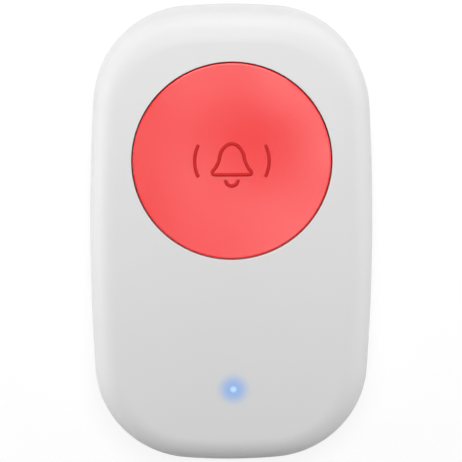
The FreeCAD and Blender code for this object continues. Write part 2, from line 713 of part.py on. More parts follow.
def make_rear_cover():
    """The shallow rear cover, with the battery opening, its bayonet ledge and the cell's well."""
    cover = new_body("rear_cover")
    sketch = sketch_on(cover, "rear_outline")
    outline(sketch)
    pad(cover, "rear_block", sketch, "parting_height")
    dress(cover, "rear_edge", "min(rear_edge_radius; parting_height - seam_chamfer)",
          lambda edge: at_level(edge, 0))
    sketch = sketch_on(cover, "inner_outline", at=("0", "0", "floor_thickness"))
    outline(sketch, "wall")
    pocket_up(cover, "rear_hollow", sketch, "parting_height - floor_thickness")
    sketch = sketch_on(cover, "ring_round", at=("0", "hatch_y", "0"))
    circle(sketch, "0", "0", "ring_radius")
    pad(cover, "hatch_ring", sketch, "ledge_top")
    sketch = sketch_on(cover, "pillar_rounds", at=("0", "0", "floor_thickness / 2"))
    for x, y in corner_spots():
        circle(sketch, x, y, "pillar_radius")
    pad(cover, "pillars", sketch, "parting_height - floor_thickness / 2")
    sketch = sketch_on(cover, "lip_ring", at=("0", "0", "floor_thickness"))
    outline(sketch, "lip_inset")
    outline(sketch, "wall")
    pad(cover, "lip", sketch, "lip_top - floor_thickness")
    sketch = sketch_on(cover, "well_ring", at=("0", "hatch_y", "recess_top"))
    circle(sketch, "0", "0", "well_radius + well_wall")
    circle(sketch, "0", "0", "well_radius")
    pad(cover, "well", sketch, "well_top - recess_top")
    sketch = sketch_on(cover, "rest_rounds", at=("0", "0", "floor_thickness / 2"))
    rests = [(x, "rest_y") for x in ("0", "rest_spread", "-rest_spread")]
    for x, y in [*rests, ("0", "rest_lower_y")]:
        circle(sketch, x, y, "rest_radius")
    pad(cover, "board_rests", sketch, "board_bottom - rest_gap - floor_thickness / 2")

    sketch = sketch_on(cover, "recess_round", at=("0", "hatch_y", "0"))
    circle(sketch, "0", "0", "recess_radius")
    pocket_up(cover, "hatch_recess", sketch, "recess_top")
    sketch = sketch_on(cover, "bore_round", at=("0", "hatch_y", "recess_top"))
    circle(sketch, "0", "0", "bore_radius")
    pocket_up(cover, "hatch_bore", sketch, "ledge_thickness")
    sketch = sketch_on(cover, "notch_section", "XZ_Plane", ("0", "hatch_y", "0"), "lug_start - unlock_angle")
    box(sketch, "cup_radius", "recess_top - seat_gap", "notch_radius", "lug_bottom")
    notch = turned(cover, "lug_notch", sketch, "Groove", "notch_angle")
    repeat_round(cover, "lug_notches", notch, sketch, "lug_count")
    # A stop at each end of every lug's travel
    beyond = "lug_angle / 2 + stop_margin_angle + stop_angle / 2"
    ends = {"locked": f"lug_start + {beyond}", "open": f"lug_start - unlock_angle - ({beyond})"}
    for end, angle in ends.items():
        sketch = sketch_on(cover, f"{end}_stop_section", "XZ_Plane", ("0", "hatch_y", "0"), angle)
        box(sketch, "bore_radius + hatch_gap", "ledge_top - seat_gap", "well_radius + hatch_gap", "cup_top")
        stop = turned(cover, f"{end}_stop", sketch, angle="stop_angle")
        repeat_round(cover, f"{end}_stops", stop, sketch, "lug_count")
    sketch = sketch_on(cover, "rib_strip", at=("0", "hatch_y", "well_top - rib_height"))
    far = "-(well_radius + well_wall / 2)"
    near = "-(cell_radius + rib_clearance)"
    box(sketch, "-rib_width / 2", far, "rib_width / 2", near)
    rib = pad(cover, "cell_rib", sketch, "rib_height")
    repeat_round(cover, "cell_ribs", rib, sketch, "lug_count", "N_Axis")

    sketch = sketch_on(cover, "screw_spots")
    for x, y in corner_spots():
        circle(sketch, x, y, "cover_screw_radius")
    doc.recompute()
    holes = cover.newObject("PartDesign::Hole", "screw_holes")
    holes.Profile = sketch
    doc.recompute()
    holes.Reversed = True
    holes.DepthType = "ThroughAll"
    holes.DrillPoint = "Flat"
    holes.HoleCutType = "Counterbore"
    holes.HoleCutCustomValues = True
    bind(holes, "Diameter", "2 * (cover_screw_radius + head_clearance)")
    bind(holes, "HoleCutDiameter", "2 * (cover_head_radius + head_clearance)")
    bind(holes, "HoleCutDepth", "cover_head_seat")
    sketch = sketch_on(cover, "mark_rounds", at=("0", "hatch_y", "0"))
    away = "(recess_radius + mark_distance)"
    for angle in ("lug_start", "(lug_start - unlock_angle)"):
        circle(sketch, f"{away} * cos({angle})", f"{away} * sin({angle})", "mark_radius")
    pocket_up(cover, "turn_marks", sketch, "mark_depth")
    parting = number("parting_height")
    dress(cover, "rear_seam_edge", "seam_chamfer",
          lambda edge: at_level(edge, parting) and on_case_outline(edge), "Chamfer")
    return cover


def make_battery_hatch():
    """The coin-slot hatch: a plate, a seal groove, a cup that centres the cell and bayonet lugs."""
    hatch = new_body("battery_hatch", ("0", "hatch_y", "0"))
    plate = "hatch_sink + hatch_plate"
    floor = f"{plate} - hatch_seal_groove_depth"
    inner = "hatch_seal_distance - hatch_seal_groove_width / 2"
    outer = "hatch_seal_distance + hatch_seal_groove_width / 2"
    sketch = sketch_on(hatch, "hatch_section", "XZ_Plane")
    polygon(sketch, [
        ("0", "hatch_sink"), ("hatch_radius", "hatch_sink"), ("hatch_radius", plate), (outer, plate),
        (outer, floor), (inner, floor), (inner, plate), ("cup_radius", plate), ("cup_radius", "cup_top"),
        ("cup_radius - cup_wall", "cup_top"), ("cup_radius - cup_wall", plate), ("0", plate),
    ])
    turned(hatch, "hatch_round", sketch)
    sketch = sketch_on(hatch, "lug_section", "XZ_Plane", turn="lug_start")
    box(sketch, "cup_radius - cup_wall / 2", "lug_bottom", "lug_radius", "cup_top")
    lug = turned(hatch, "lug", sketch, angle="lug_angle")
    repeat_round(hatch, "lugs", lug, sketch, "lug_count")
    sketch = sketch_on(hatch, "coin_slot_outline", at=("0", "0", "hatch_sink"))
    slot(sketch, "coin_slot_length", "coin_slot_width")
    pocket_up(hatch, "coin_slot", sketch, "coin_slot_depth")
    sketch = sketch_on(hatch, "hatch_mark_round", at=("0", "0", "hatch_sink"))
    circle(sketch, "0", "cup_radius + cup_wall", "mark_radius")
    pocket_up(hatch, "hatch_mark", sketch, "mark_depth")
    level = number("hatch_sink")
    radius = number("hatch_radius")
    dress(hatch, "hatch_rim", "hatch_rim_round",
          lambda edge: at_level(edge, level) and round_about(edge, 0, 0, radius))
    return hatch


def make_hatch_seal():
    """The round seal between the hatch's plate and the rear cover."""
    seal = doc.addObject("Part::Torus", "hatch_seal")
    seal.Label = "hatch_seal"
    bind(seal, "Radius1", "hatch_seal_distance")
    bind(seal, "Radius2", "(hatch_seal_groove_depth + seat_gap) / 2 - seal_gap")
    bind(seal, "Placement.Base.y", "hatch_y")
    bind(seal, "Placement.Base.z", "recess_top - (hatch_seal_groove_depth + seat_gap) / 2")
    return seal


def make_perimeter_seal():
    """The flat seal that the rear cover's lip presses into the front cover's rebate."""
    seal = new_body("perimeter_seal")
    sketch = sketch_on(seal, "seal_ring", at=("0", "0", "lip_top + seal_gap"))
    outline(sketch, "lip_inset")
    outline(sketch, "wall")
    pad(seal, "seal_strip", sketch, "seal_thickness")
    return seal


def make_screws(name, spots, seat, kind):
    """Round-headed screws that point up from their heads, each with a cross recess."""
    screws = new_body(name)
    sketch = sketch_on(screws, f"{name}_heads", at=("0", "0", f"{seat} - {kind}_head_height"))
    for x, y in spots:
        circle(sketch, x, y, f"{kind}_head_radius")
    pad(screws, f"{name}_head", sketch, f"{kind}_head_height")
    sketch = sketch_on(screws, f"{name}_shanks", at=("0", "0", seat))
    for x, y in spots:
        circle(sketch, x, y, f"{kind}_screw_radius")
    pad(screws, f"{name}_shank", sketch, f"{kind}_screw_length")
    bottom = number(f"{seat} - {kind}_head_height")
    dress(screws, f"{name}_head_edge", "head_round", lambda edge: at_level(edge, bottom))
    top = number(f"{seat} + {kind}_screw_length")
    dress(screws, f"{name}_tip", "thread_chamfer", lambda edge: at_level(edge, top), "Chamfer")
    sketch = sketch_on(screws, f"{name}_crosses", at=("0", "0", f"{seat} - {kind}_head_height"))
    for x, y in spots:
        cross(sketch, x, y, "recess_reach", "recess_width")
    pocket_up(screws, f"{name}_recess", sketch, "recess_depth")
    return screws


def make_button_cap():
    """The dished button, with a guide skirt on four hooks, a press post and stiffening webs."""
    cap = new_body("button_cap", ("0", "button_y", "0"))
    sketch = sketch_on(cap, "cap_section", "XZ_Plane")
    skirt_inside = "button_radius - button_wall"
    polygon(sketch, [
        ("0", "plunger_top + press_gap"), ("post_radius", "plunger_top + press_gap"),
        ("post_radius", "button_ceiling"), (skirt_inside, "button_ceiling"), (skirt_inside, "skirt_bottom"),
        ("button_radius", "skirt_bottom"), ("button_radius", "case_height + crown_margin"),
        ("0", "case_height + crown_margin"),
    ])
    turned(cap, "cap_round", sketch)
    # The dish is a shallow part of a large ball, square to the crowned face at the button
    upright = "sqrt(crown_length_radius ^ 2 - button_y ^ 2)"
    reach = "(dish_radius - button_set_back - dish_depth) / crown_length_radius"
    dish = cap.newObject("PartDesign::SubtractiveSphere", "dish")
    plane = next(item for item in cap.Origin.OriginFeatures if item.Role == "XY_Plane")
    dish.AttachmentSupport = (plane, [""])
    dish.MapMode = "FlatFace"
    bind(dish, "Radius", "dish_radius")
    bind(dish, "AttachmentOffset.Base.y", f"button_y * {reach}")
    bind(dish, "AttachmentOffset.Base.z", f"button_crown + {upright} * {reach}")
    cap.Tip = dish
    ceiling = number("button_ceiling")
    radius = number("button_radius")
    dress(cap, "cap_rim", "button_rim_round",
          lambda edge: edge.BoundBox.ZMin > ceiling and round_about(edge, 0, 0, radius))
    sketch = sketch_on(cap, "web_cross", at=("0", "0", "button_ceiling - web_height"))
    cross(sketch, "0", "0", "button_radius - button_wall / 2", "web_thickness")
    pad(cap, "cap_webs", sketch, "web_height")
    sketch = sketch_on(cap, "hook_section", "XZ_Plane", turn="180 / hook_count")
    root = "button_radius - button_wall / 2"
    polygon(sketch, [
        (root, "skirt_bottom"), ("button_radius", "skirt_bottom"),
        ("button_radius + hook_reach", "skirt_bottom + hook_height / 2"),
        ("button_radius + hook_reach", "skirt_bottom + hook_height"), (root, "skirt_bottom + hook_height"),
    ])
    hook = turned(cap, "hook", sketch, angle="hook_angle")
    repeat_round(cap, "hooks", hook, sketch, "hook_count")
    for side, sign in (("left", "+"), ("right", "-")):
        angle = f"180 / hook_count {sign} (hook_angle + slit_angle) / 2"
        sketch = sketch_on(cap, f"{side}_slit_section", "XZ_Plane", turn=angle)
        box(sketch, f"{skirt_inside} - button_gap", "skirt_bottom - button_gap",
            "button_radius + button_gap", "skirt_bottom + slit_length")
        slit = turned(cap, f"{side}_slit", sketch, "Groove", "slit_angle")
        repeat_round(cap, f"{side}_slits", slit, sketch, "hook_count")
    return cap


def make_circuit_board():
    """The board, notched round the cover-screw bosses and drilled for its screws and the antenna."""
    board = new_body("circuit_board")
    sketch = sketch_on(board, "board_outline", at=("0", "0", "board_bottom"))
    outline(sketch, "board_inset")
    pad(board, "board_sheet", sketch, "board_thickness")
    for x, y in corner_spots():
        sketch = sketch_on(board, "boss_notch_round", at=(x, y, "board_bottom"))
        circle(sketch, "0", "0", "boss_radius + board_clearance")
        pocket_up(board, "boss_notch", sketch, "board_thickness")
    sketch = sketch_on(board, "board_drills", at=("0", "0", "board_bottom"))
    for x, y in board_screw_spots():
        circle(sketch, x, y, "board_screw_radius + head_clearance")
    for side in ("-", ""):
        circle(sketch, f"{side}antenna_half", "antenna_y", "wire_radius + thread_gap")
    pocket_up(board, "board_holes", sketch, "board_thickness")
    return board


def make_switch():
    """A tact switch: moulded base, sheet cover, plunger, snap dome and four soldered legs."""
    spot = ("0", "button_y", "board_top")
    base = new_body("switch_base", spot)
    sketch = sketch_on(base, "switch_base_outline", at=("0", "0", "solder_gap"))
    rectangle(sketch, "0", "0", "switch_width", "switch_depth")
    pad(base, "switch_block", sketch, "switch_base_height - solder_gap")
    sketch = sketch_on(base, "cavity_round", at=("0", "0", "cavity_floor"))
    circle(sketch, "0", "0", "cavity_radius")
    pocket_up(base, "cavity", sketch, "switch_base_height - cavity_floor")

    frame = new_body("switch_frame", spot)
    sketch = sketch_on(frame, "frame_outline", at=("0", "0", "switch_base_height"))
    rectangle(sketch, "0", "0", "switch_width", "switch_depth + 2 * frame_sheet")
    circle(sketch, "0", "0", "plunger_radius + plunger_clearance")
    pad(frame, "frame_plate", sketch, "frame_sheet")
    sketch = sketch_on(frame, "frame_tab_outlines", at=("0", "0", "switch_base_height - frame_tab_length"))
    for side in (1, -1):
        rectangle(sketch, "0", f"{side} * (switch_depth + frame_sheet) / 2", "frame_tab_width", "frame_sheet")
    pad(frame, "frame_tabs", sketch, "frame_tab_length + frame_sheet / 2")

    plunger = new_body("switch_plunger", spot)
    foot = "cavity_floor + dome_rise + dome_sheet + stack_gap"
    shoulder = "switch_base_height - stack_gap"
    sketch = sketch_on(plunger, "plunger_section", "XZ_Plane")
    polygon(sketch, [
        ("0", foot), ("plunger_flange_radius", foot), ("plunger_flange_radius", shoulder),
        ("plunger_radius", shoulder), ("plunger_radius", "plunger_top - board_top"),
        ("0", "plunger_top - board_top"),
    ])
    turned(plunger, "plunger_round", sketch)

    dome = new_body("switch_dome", spot)
    sketch = sketch_on(dome, "dome_section", "XZ_Plane", at=("0", "0", "cavity_floor"))
    sphere = "(dome_radius ^ 2 + dome_rise ^ 2) / (2 * dome_rise)"
    middle = number(f"dome_rise - {sphere}")
    inner = number(sphere)
    outer = number(f"{sphere} + dome_sheet")
    low = arc(sketch, 0, middle, inner, asin(-middle / inner), pi / 2)
    high = arc(sketch, 0, middle, outer, asin(-middle / outer), pi / 2)
    ends = [sqrt(radius ** 2 - middle ** 2) for radius in (inner, outer)]
    rim = sketch.addGeometry(Part.LineSegment(Vector(ends[0], 0, 0), Vector(ends[1], 0, 0)))
    tops = (Vector(0, middle + outer, 0), Vector(0, middle + inner, 0))
    crest = sketch.addGeometry(Part.LineSegment(*tops))
    join(sketch, high, crest)
    for first, second, point in ((crest, low, 2), (rim, high, 1)):
        sketch.addConstraint(Sketcher.Constraint("Coincident", first, 2, second, point))
    sketch.addConstraint(Sketcher.Constraint("Coincident", low, 1, rim, 1))
    sketch.addConstraint(Sketcher.Constraint("PointOnObject", crest, 1, -2))
    sketch.addConstraint(Sketcher.Constraint("PointOnObject", crest, 2, -2))
    sketch.addConstraint(Sketcher.Constraint("PointOnObject", rim, 1, -1))
    sketch.addConstraint(Sketcher.Constraint("PointOnObject", rim, 2, -1))
    pin(sketch, low, 3, "0", f"dome_rise - {sphere}")
    pin(sketch, high, 3, "0", f"dome_rise - {sphere}")
    lock(sketch, "Radius", low, size=sphere)
    lock(sketch, "Radius", high, size=f"{sphere} + dome_sheet")
    turned(dome, "dome_round", sketch)

    legs = new_body("switch_terminals", spot)
    side = "switch_width / 2"
    profile = [
        (side, "terminal_rise"), (f"{side} + 2 * terminal_sheet", "terminal_rise"),
        (f"{side} + 2 * terminal_sheet", "terminal_sheet + solder_gap"),
        (f"{side} + terminal_foot", "terminal_sheet + solder_gap"),
        (f"{side} + terminal_foot", "solder_gap"), (f"{side} + terminal_sheet", "solder_gap"),
        (f"{side} + terminal_sheet", "terminal_rise - terminal_sheet"),
        (side, "terminal_rise - terminal_sheet"),
    ]
    for row in (1, -1):
        sketch = sketch_on(legs, "leg_section", "XZ_Plane", at=("0", f"{row} * terminal_pitch / 2", "0"))
        polygon(sketch, profile)
        polygon(sketch, [(f"-({x})", z) for x, z in profile])
        pad(legs, "leg_pair", sketch, "terminal_width", midplane=True)
    return [base, frame, plunger, dome, legs]


def make_antenna():
    """A wire antenna bent to and fro in an upright row, soldered into the board at both ends."""
    wire = new_body("wire_antenna", ("0", "antenna_y", "0"))
    path = sketch_on(wire, "wire_path", "XZ_Plane")
    bends = int(number("antenna_bends"))
    bend = number("antenna_bend")
    low = "antenna_low + antenna_bend"
    high = "antenna_high + antenna_bend"
    tail = "board_bottom - antenna_tail"
    previous = None
    for index in range(bends + 1):
        x = f"{2 * index - bends} * antenna_bend"
        upward = index % 2 == 0
        ends = [low, high] if upward else [high, low]
        if index == 0:
            ends[0] = tail
        if index == bends:
            ends[1] = tail
        start, end = (Vector(number(x), number(level), 0) for level in ends)
        run = path.addGeometry(Part.LineSegment(start, end))
        pin(path, run, 1, x, ends[0])
        pin(path, run, 2, x, ends[1])
        if previous is not None:
            angles = (0, pi) if not upward else (pi, 2 * pi)
            turn = arc(path, number(x) - bend, start.y, bend, *angles)
            first, second = (2, 1) if not upward else (1, 2)
            path.addConstraint(Sketcher.Constraint("Coincident", turn, first, previous, 2))
            path.addConstraint(Sketcher.Constraint("Coincident", turn, second, run, 1))
            lock(path, "DistanceY", -1, 1, turn, 3, size=ends[0])
        previous = run
    section = sketch_on(wire, "wire_section", at=("-antenna_half", "0", tail))
    circle(section, "0", "0", "wire_radius")
    pipe = wire.newObject("PartDesign::AdditivePipe", "wire")
    pipe.Profile = section
    pipe.Spine = (path, [])
    return wire


def make_light():
    """The light on the board and the clear guide that takes it to the thin spot in the cover."""
    light = new_body("indicator_led", ("light_x", "light_y", "board_top + solder_gap"))
    sketch = sketch_on(light, "light_base_outline")
    rectangle(sketch, "0", "0", "light_length", "light_width")
    pad(light, "light_base", sketch, "light_height / 2")
    sketch = sketch_on(light, "light_lens_outline")
    rectangle(sketch, "0", "0", "light_lens_length", "light_width")
    pad(light, "light_lens", sketch, "light_height - solder_gap")

    guide = new_body("light_guide", ("light_x", "light_y", "0"))
    shoulder = "guide_bottom + guide_flange_height"
    top = "light_crown - light_skin - guide_gap"
    sketch = sketch_on(guide, "guide_section", "XZ_Plane")
    polygon(sketch, [
        ("0", "guide_bottom"), ("guide_flange_radius", "guide_bottom"), ("guide_flange_radius", shoulder),
        ("guide_radius", shoulder), ("guide_radius", top), ("0", top),
    ])
    turned(guide, "guide_round", sketch)
    return [light, guide]


def make_chips():
    """The control chip on its legs, the flat radio chip and the crystal beside it."""
    control = new_body("control_chip", ("control_chip_x", "control_chip_y", "board_top"))
    sketch = sketch_on(control, "control_outline", at=("0", "0", "control_chip_standoff"))
    rectangle(sketch, "0", "0", "control_chip_length", "control_chip_width")
    pad(control, "control_block", sketch, "control_chip_height")
    side = "control_chip_width / 2"
    profile = [
        (f"{side} - lead_sheet", "lead_rise"), (f"{side} + lead_reach - lead_foot", "lead_rise"),
        (f"{side} + lead_reach - lead_foot", "lead_sheet + solder_gap"),
        (f"{side} + lead_reach", "lead_sheet + solder_gap"), (f"{side} + lead_reach", "solder_gap"),
        (f"{side} + lead_reach - lead_foot - lead_sheet", "solder_gap"),
        (f"{side} + lead_reach - lead_foot - lead_sheet", "lead_rise - lead_sheet"),
        (f"{side} - lead_sheet", "lead_rise - lead_sheet"),
    ]
    for index in range(int(number("lead_count"))):
        x = f"({index} - (lead_count - 1) / 2) * lead_pitch"
        sketch = sketch_on(control, "lead_section", "YZ_Plane", at=(x, "0", "0"))
        polygon(sketch, profile)
        polygon(sketch, [(f"-({y})", z) for y, z in profile])
        pad(control, "lead_pair", sketch, "lead_width", midplane=True)

    radio = new_body("radio_chip", ("radio_chip_x", "radio_chip_y", "board_top + solder_gap"))
    sketch = sketch_on(radio, "radio_outline")
    rectangle(sketch, "0", "0", "radio_chip_size", "radio_chip_size")
    pad(radio, "radio_block", sketch, "radio_chip_height")

    crystal = new_body("crystal_can", ("crystal_x", "crystal_y", "board_top + solder_gap"))
    sketch = sketch_on(crystal, "crystal_outline")
    rectangle(sketch, "0", "0", "crystal_length", "crystal_width")
    pad(crystal, "crystal_base", sketch, "crystal_base_height")
    sketch = sketch_on(crystal, "lid_outline", at=("0", "0", "crystal_base_height"))
    lid = [f"{side} - 2 * crystal_lid_inset" for side in ("crystal_length", "crystal_width")]
    rectangle(sketch, "0", "0", *lid)
    pad(crystal, "crystal_lid", sketch, "crystal_lid_height")
    return [control, radio, crystal]


def make_passives(name, spots, height):
    """Small two-ended parts of one size, each a separate solid on the board."""
    group = new_body(name, ("0", "0", "board_top + solder_gap"))
    sketch = sketch_on(group, f"{name}_outlines")
    for x, y in spots:
        rectangle(sketch, x, y, "passive_width", "passive_length")
    pad(group, f"{name}_blocks", sketch, height)
    return group


def make_coin_cell():
    """The coin cell: a flat can and, on the board's side, its smaller cap."""
    cell = new_body("coin_cell", ("0", "hatch_y", "cell_bottom"))
    can = "cell_height - cell_cap_height"
    sketch = sketch_on(cell, "cell_section", "XZ_Plane")
    polygon(sketch, [
        ("0", "0"), ("cell_radius", "0"), ("cell_radius", can), ("cell_cap_radius", can),
        ("cell_cap_radius", "cell_height"), ("0", "cell_height"),
    ])
    turned(cell, "cell_can", sketch)
    radius = number("cell_radius")
    dress(cell, "cell_edges", "cell_edge_round", lambda edge: round_about(edge, 0, 0, radius))
    return cell


def make_contacts():
    """The two battery contacts, bent from sheet and soldered under the board."""
    spot = ("0", "hatch_y", "board_bottom")
    positive = new_body("positive_contact", spot)
    near = "cell_radius + contact_side_gap"
    bottom = "-(contact_room + contact_overlap)"
    sketch = sketch_on(positive, "positive_section", "YZ_Plane")
    polygon(sketch, [
        (near, bottom), (f"{near} + contact_sheet", bottom),
        (f"{near} + contact_sheet", "-solder_gap - contact_sheet"),
        (f"{near} + contact_foot", "-solder_gap - contact_sheet"), (f"{near} + contact_foot", "-solder_gap"),
        (near, "-solder_gap"),
    ])
    pad(positive, "positive_strip", sketch, "contact_width", midplane=True)

    negative = new_body("negative_contact", spot)
    touch = "-contact_room + stack_gap"
    sketch = sketch_on(negative, "negative_section", "YZ_Plane")
    polygon(sketch, [
        ("-spring_length - contact_foot", "-solder_gap"), ("-spring_length", "-solder_gap"),
        ("0", f"{touch} + contact_sheet"), ("spring_tip", f"{touch} + 2 * contact_sheet"),
        ("spring_tip", f"{touch} + contact_sheet"), ("0", touch),
        ("-spring_length", "-solder_gap - contact_sheet"),
        ("-spring_length - contact_foot", "-solder_gap - contact_sheet"),
    ])
    pad(negative, "negative_strip", sketch, "contact_width", midplane=True)
    return [positive, negative]


def check(pieces):
    """Stop if any feature failed, cut nothing or left a piece empty, broken or in the wrong number."""
    doc.recompute()
    for item in doc.Objects:
        if "Invalid" in item.State or "Error" in item.State:
            raise RuntimeError(f"{item.Name} failed: {item.State}")
        if item.TypeId in ("PartDesign::Pocket", "PartDesign::Groove", "PartDesign::Hole"):
            taken = item.BaseFeature.Shape.Volume - item.Shape.Volume
            if taken <= 0:
                raise RuntimeError(f"{item.Name} cuts nothing")
    for piece in pieces:
        shape = piece.Shape
        wanted = SOLIDS.get(piece.Label, 1)
        if shape.isNull() or not shape.isValid():
            raise RuntimeError(f"{piece.Label} has no sound shape")
        if len(shape.Solids) != wanted:
            raise RuntimeError(f"{piece.Label} has {len(shape.Solids)} solids, not {wanted}")


def main():
    """Build every piece, check them all and write each to its own file."""
    fill_sheet()
    pieces = [
        make_front_cover(),
        make_rear_cover(),
        make_battery_hatch(),
        make_hatch_seal(),
        make_perimeter_seal(),
        make_screws("cover_screws", corner_spots(), "cover_head_seat", "cover"),
        make_button_cap(),
        make_circuit_board(),
        make_screws("board_screws", board_screw_spots(), "board_bottom", "board"),
        *make_switch(),
        make_antenna(),
        *make_light(),
        *make_chips(),
        make_passives("chip_capacitors", CAPACITOR_SPOTS, "capacitor_height"),
        make_passives("chip_resistors", RESISTOR_SPOTS, "resistor_height"),
        make_coin_cell(),
        *make_contacts(),
    ]
    check(pieces)
    os.makedirs("parts", exist_ok=True)
    for piece in pieces:
        piece.Shape.exportStep(f"parts/{piece.Label}.step")
        print(f"{piece.Label}: {len(piece.Shape.Solids)} solid, {piece.Shape.Volume:.2f} cubic mm")


main()
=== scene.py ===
"""Finish the panic button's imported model, print a symbol on it and set up its studio."""

from math import cos, pi, radians, sin, sqrt, tan

import bpy
from bpy.props import FloatProperty, FloatVectorProperty, PointerProperty, StringProperty
from bpy.types import Operator, Panel, PropertyGroup
from mathutils import Matrix, Vector


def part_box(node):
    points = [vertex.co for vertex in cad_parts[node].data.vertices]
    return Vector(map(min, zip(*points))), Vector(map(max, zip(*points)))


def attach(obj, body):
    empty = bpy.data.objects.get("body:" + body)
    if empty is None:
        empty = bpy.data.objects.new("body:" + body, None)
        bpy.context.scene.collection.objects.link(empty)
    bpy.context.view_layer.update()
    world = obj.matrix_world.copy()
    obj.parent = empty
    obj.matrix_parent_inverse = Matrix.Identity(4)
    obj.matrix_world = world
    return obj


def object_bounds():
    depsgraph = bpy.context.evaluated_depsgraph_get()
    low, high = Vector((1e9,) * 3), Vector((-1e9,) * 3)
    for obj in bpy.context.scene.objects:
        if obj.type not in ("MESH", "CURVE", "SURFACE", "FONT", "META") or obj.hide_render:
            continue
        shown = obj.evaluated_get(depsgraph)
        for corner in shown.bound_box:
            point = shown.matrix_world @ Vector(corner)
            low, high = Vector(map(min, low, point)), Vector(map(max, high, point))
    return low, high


bl_info = {
    "name": "Panic Button Case",
    "version": (1, 0, 0),
    "blender": (4, 5, 0),
    "location": "View3D > Sidebar > Panic Button",
    "description": "Finishes, symbol and studio for a pocket panic button",
    "category": "Object",
}

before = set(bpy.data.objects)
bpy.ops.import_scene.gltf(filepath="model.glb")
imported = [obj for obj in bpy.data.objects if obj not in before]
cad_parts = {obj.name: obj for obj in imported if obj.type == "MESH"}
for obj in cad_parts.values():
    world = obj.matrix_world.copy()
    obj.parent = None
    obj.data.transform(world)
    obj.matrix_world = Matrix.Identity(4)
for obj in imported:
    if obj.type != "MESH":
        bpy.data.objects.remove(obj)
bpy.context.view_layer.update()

MM = 0.001
# Blender's noise seldom leaves this range
NOISE_LOW = 0.3
NOISE_HIGH = 0.7
# What one repeat of Blender's wave texture measures at a scale of one: its rings, and its diagonal
# bands across their run on a level face
RING_REPEAT = pi / 10
BAND_REPEAT = pi / 5 / sqrt(2)


def middle(box):
    """Return the middle of a box that is given by two corners."""
    return sum(box, Vector()) / 2


def linear(colour):
    """Turn an sRGB hex colour into linear values."""
    shares = [int(colour[i:i + 2], 16) / 255 for i in (0, 2, 4)]
    return [s / 12.92 if s <= 0.04045 else ((s + 0.055) / 1.055) ** 2.4 for s in shares]


def repeats(millimetres):
    """Return how many times a real length fits into a metre, which is a texture's scale."""
    return 1 / (millimetres * MM)


CASE_MIDDLE = middle(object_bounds())
BUTTON = middle(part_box("button_cap"))
CELL = middle(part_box("coin_cell"))
# The glow painted on the cover lies a hair to one side of the lamp behind it
GLOW = middle(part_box("indicator_led")) + Vector((-0.13, 0.07, 0)) * MM


class CaseFinish(PropertyGroup):
    """White ABS of the two covers and the hatch."""
    colour: FloatVectorProperty(
        name="Colour", description="Colour of the white covers", subtype="COLOR",
        min=0, max=1, default=linear("E0E0E0"))
    roughness: FloatProperty(
        name="Roughness", description="Satin of the spark-eroded mould", subtype="FACTOR",
        min=0, max=1, default=0.48)
    wander: FloatProperty(
        name="Wander", description="How much rougher the white skin gets in patches", subtype="FACTOR",
        min=0, max=1, default=0.05)
    sheen: FloatProperty(
        name="Sheen", description="Strength of the light that the white skin mirrors", subtype="FACTOR",
        min=0, max=1, default=0.32)
    grain: FloatProperty(
        name="Grain", description="Width of one pit of the white skin's grain", unit="LENGTH",
        default=0.3 * MM)


class ButtonFinish(PropertyGroup):
    """Red ABS of the press button."""
    colour: FloatVectorProperty(
        name="Colour", description="Colour of the press button", subtype="COLOR",
        min=0, max=1, default=linear("F81C20"))
    roughness: FloatProperty(
        name="Roughness", description="Gloss of the button's face", subtype="FACTOR",
        min=0, max=1, default=0.11)
    wander: FloatProperty(
        name="Wander", description="How much rougher the red skin gets in patches", subtype="FACTOR",
        min=0, max=1, default=0.01)
    sheen: FloatProperty(
        name="Sheen", description="Strength of the light that the red skin mirrors", subtype="FACTOR",
        min=0, max=1, default=0.5)
    grain: FloatProperty(
        name="Grain", description="Width of one pit of the red skin's grain", unit="LENGTH",
        default=0.3 * MM)


class SymbolSizes(PropertyGroup):
    """Plain bell symbol printed on the press button."""
    width: FloatProperty(
        name="Width", description="Width of the bell where it flares most", unit="LENGTH",
        default=5.2 * MM)
    height: FloatProperty(
        name="Height", description="Height of the bell from its rim to its top", unit="LENGTH",
        default=4.4 * MM)
    clapper: FloatProperty(
        name="Clapper", description="Radius of the clapper's arc", unit="LENGTH",
        default=0.884 * MM)
    clapper_drop: FloatProperty(
        name="Clapper drop", description="From the rim down to the middle of the clapper's arc",
        unit="LENGTH", default=0.7 * MM)
    reach: FloatProperty(
        name="Reach", description="Radius of the arcs that stand for its sound", unit="LENGTH",
        default=5.2 * MM)
    swing: FloatProperty(
        name="Swing", description="Half the angle of the arcs that stand for its sound",
        subtype="ANGLE", default=radians(26))
    stroke: FloatProperty(
        name="Stroke", description="Width of the printed line", unit="LENGTH", default=0.5 * MM)
    ink: FloatProperty(
        name="Ink", description="How far the printed ink stands above the button", unit="LENGTH",
        default=0.015 * MM)
    colour: FloatVectorProperty(
        name="Colour", description="Colour of the ink", subtype="COLOR",
        min=0, max=1, default=linear("C8191B"))


